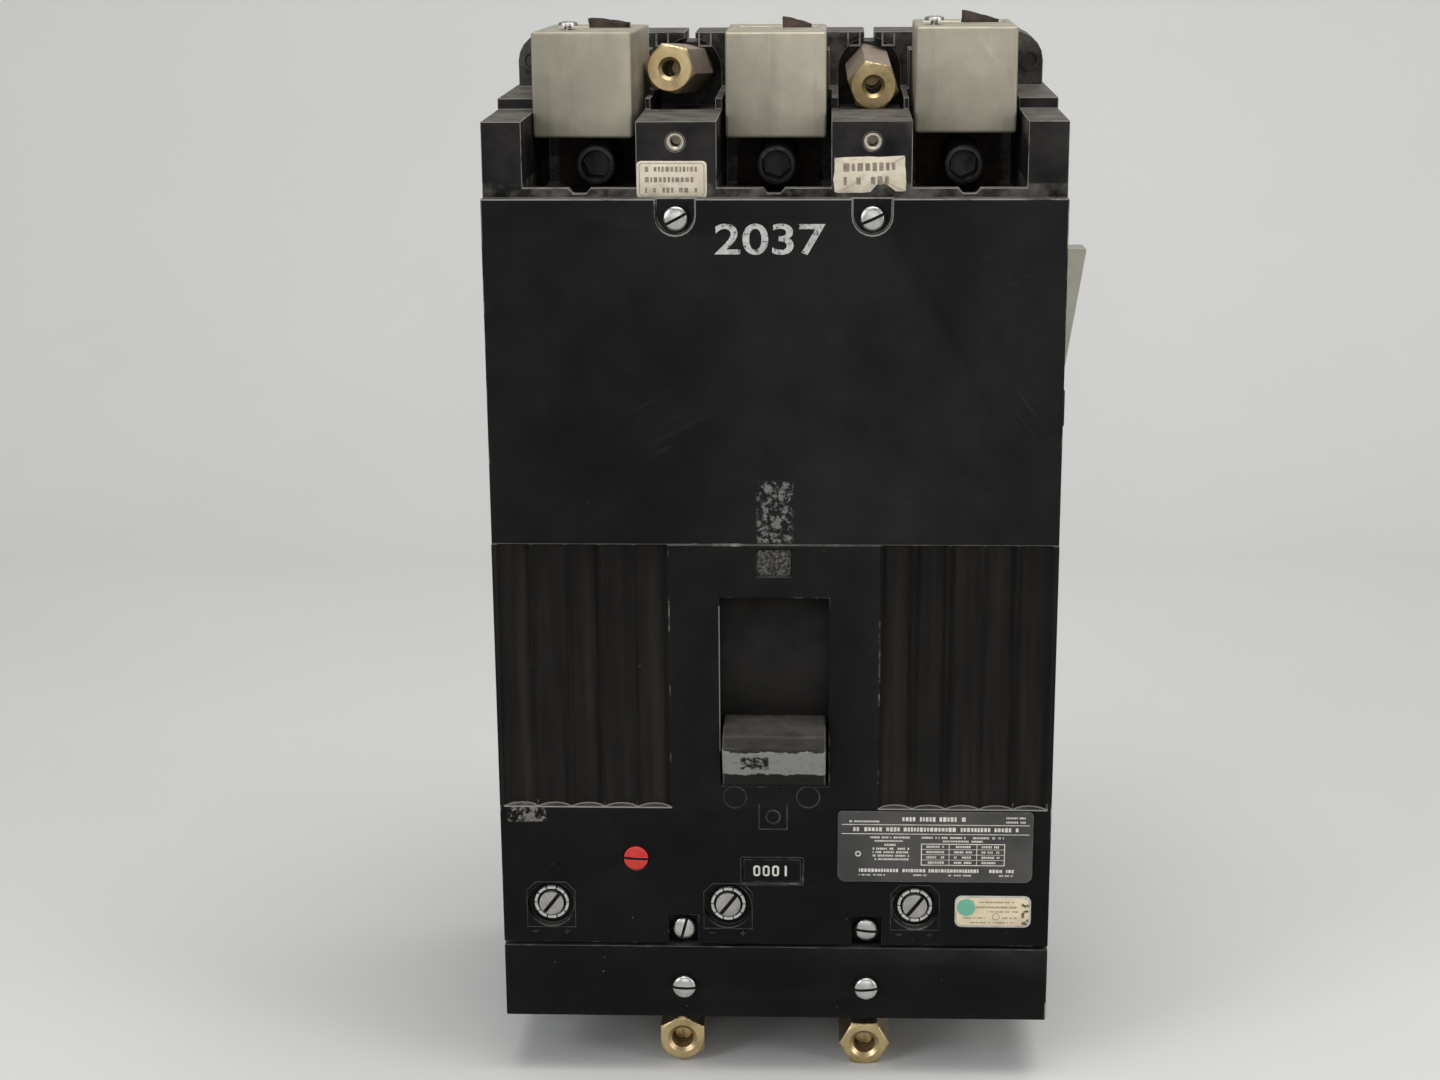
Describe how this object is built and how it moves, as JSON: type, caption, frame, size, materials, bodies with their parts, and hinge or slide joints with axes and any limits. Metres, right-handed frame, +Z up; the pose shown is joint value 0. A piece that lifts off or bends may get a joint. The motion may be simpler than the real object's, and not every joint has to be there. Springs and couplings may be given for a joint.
{
  "type": "moulded case circuit breaker",
  "caption": "Black moulded-case power circuit breaker with a toggle handle, fluted front, trip button, dials and open line terminals",
  "frame": {"origin": "centre of the flat rear mounting face, level with the middle of the base's height", "axes": "+X right as seen from the front, +Y out of the back towards the panel, +Z up towards the line end; the handle faces -Y"},
  "size_m": [0.2244, 0.1529, 0.4029],
  "materials": {
    "black_phenolic": "satin moulded phenolic, dusty and worn at the edges",
    "tin_plate": "dull tin plate with light scratches",
    "brass": "machined brass",
    "zinc": "bright zinc plate",
    "black_steel": "blackened steel",
    "steel": "plain steel",
    "copper": "bare copper",
    "red_plastic": "red moulded plastic",
    "grey_paint": "grey-green paint, scratched",
    "fibre_board": "vulcanised fibre",
    "printed_metal": "printed metal plate"
  },
  "bodies": {
    "case": {"base_case": "black_phenolic", "front_cover": "black_phenolic", "load_lug_cover": "black_phenolic", "rating_plate": "black_phenolic", "trip_unit_housing": "black_phenolic", "side_lead_block": "black_phenolic", "line_lug_left": "tin_plate", "line_lug_middle": "tin_plate", "line_lug_right": "tin_plate", "mounting_standoff_upper_left": "brass", "mounting_standoff_upper_right": "brass", "mounting_standoff_lower_left": "brass", "mounting_standoff_lower_right": "brass", "mounting_stud_left": "brass", "mounting_stud_right": "brass", "lug_cover_insert_left": "brass", "lug_cover_insert_right": "brass", "cover_screw_upper_left": "zinc", "cover_screw_upper_right": "zinc", "cover_screw_lower_left": "zinc", "cover_screw_lower_right": "zinc", "lug_cover_screw_left": "zinc", "lug_cover_screw_right": "zinc", "lug_tap_screw_left": "zinc", "lug_tap_screw_right": "zinc", "side_bracket_screw": "zinc", "terminal_bolt_left": "black_steel", "terminal_bolt_middle": "black_steel", "terminal_bolt_right": "black_steel", "cradle": "steel", "mechanism_frame": "steel", "line_terminal_left": "copper", "load_terminal_left": "copper", "line_terminal_middle": "copper", "load_terminal_middle": "copper", "line_terminal_right": "copper", "load_terminal_right": "copper", "arc_chute_left": "fibre_board", "arc_chute_middle": "fibre_board", "arc_chute_right": "fibre_board", "side_bracket": "grey_paint", "nameplate": "printed_metal"},
    "handle": {"handle": "black_phenolic", "handle_yoke": "steel", "toggle_spring_left": "steel", "toggle_spring_right": "steel"},
    "crossbar": {"crossbar": "black_phenolic", "contact_arm_left": "copper", "contact_arm_middle": "copper", "contact_arm_right": "copper"},
    "cradle_link": {"cradle_link": "steel", "knee_pin": "steel"},
    "crossbar_link": {"crossbar_link": "steel"},
    "trip_button": {"trip_button": "red_plastic", "trip_button_spring": "steel"},
    "trip_bar": {"trip_bar": "steel"},
    "trip_latch": {"trip_latch": "steel"},
    "dial_left": {"dial_left": "zinc"},
    "dial_middle": {"dial_middle": "zinc"},
    "dial_right": {"dial_right": "zinc"}
  },
  "joints": [
    {"name": "handle_tilt", "type": "hinge", "parent": "case", "child": "handle", "pos_m": [0, -0.071, -0.0395], "axis": [-1, 0, 0], "range_deg": [0, 32], "deforming": ["toggle_spring_left", "toggle_spring_right"]},
    {"name": "crossbar_turn", "type": "hinge", "parent": "case", "child": "crossbar", "pos_m": [0, -0.067, -0.008], "axis": [-1, 0, 0], "range_deg": [0, 24.1]},
    {"name": "cradle_link_turn", "type": "hinge", "parent": "case", "child": "cradle_link", "pos_m": [0, -0.088, -0.058], "axis": [-1, 0, 0], "range_deg": [0, 21.4]},
    {"name": "crossbar_link_turn", "type": "hinge", "parent": "crossbar", "child": "crossbar_link", "pos_m": [0, -0.08527, -0.01614], "axis": [1, 0, 0], "range_deg": [0, 44.2]},
    {"name": "trip_button_push", "type": "slide", "parent": "case", "child": "trip_button", "axis": [0, 1, 0], "range_m": [0, 0.003], "stiffness_N_per_m": 400, "springref_m": -0.003},
    {"name": "trip_bar_turn", "type": "hinge", "parent": "case", "child": "trip_bar", "pos_m": [-0.0531, -0.09, -0.088], "axis": [1, 0, 0], "range_deg": [0, 9.6]},
    {"name": "trip_latch_turn", "type": "hinge", "parent": "case", "child": "trip_latch", "pos_m": [0.0045, -0.096, -0.074], "axis": [1, 0, 0], "range_deg": [0, 5.9]},
    {"name": "dial_left_turn", "type": "hinge", "parent": "case", "child": "dial_left", "pos_m": [-0.0862, -0.1385, -0.1258], "axis": [0, 1, 0], "range_deg": [0, 270]},
    {"name": "dial_middle_turn", "type": "hinge", "parent": "case", "child": "dial_middle", "pos_m": [-0.018, -0.1385, -0.1258], "axis": [0, 1, 0], "range_deg": [0, 270]},
    {"name": "dial_right_turn", "type": "hinge", "parent": "case", "child": "dial_right", "pos_m": [0.0537, -0.1385, -0.1258], "axis": [0, 1, 0], "range_deg": [0, 270]}
  ],
  "couplings": [
    {"joint": "crossbar_turn", "follows": "handle_tilt", "ratio": 0.75},
    {"joint": "cradle_link_turn", "follows": "handle_tilt", "ratio": 0.6625},
    {"joint": "crossbar_link_turn", "follows": "handle_tilt", "ratio": 1.374},
    {"joint": "trip_bar_turn", "follows": "trip_button_push", "rad_per_m": 54.64},
    {"joint": "trip_latch_turn", "follows": "trip_button_push", "rad_per_m": 33.3}
  ]
}
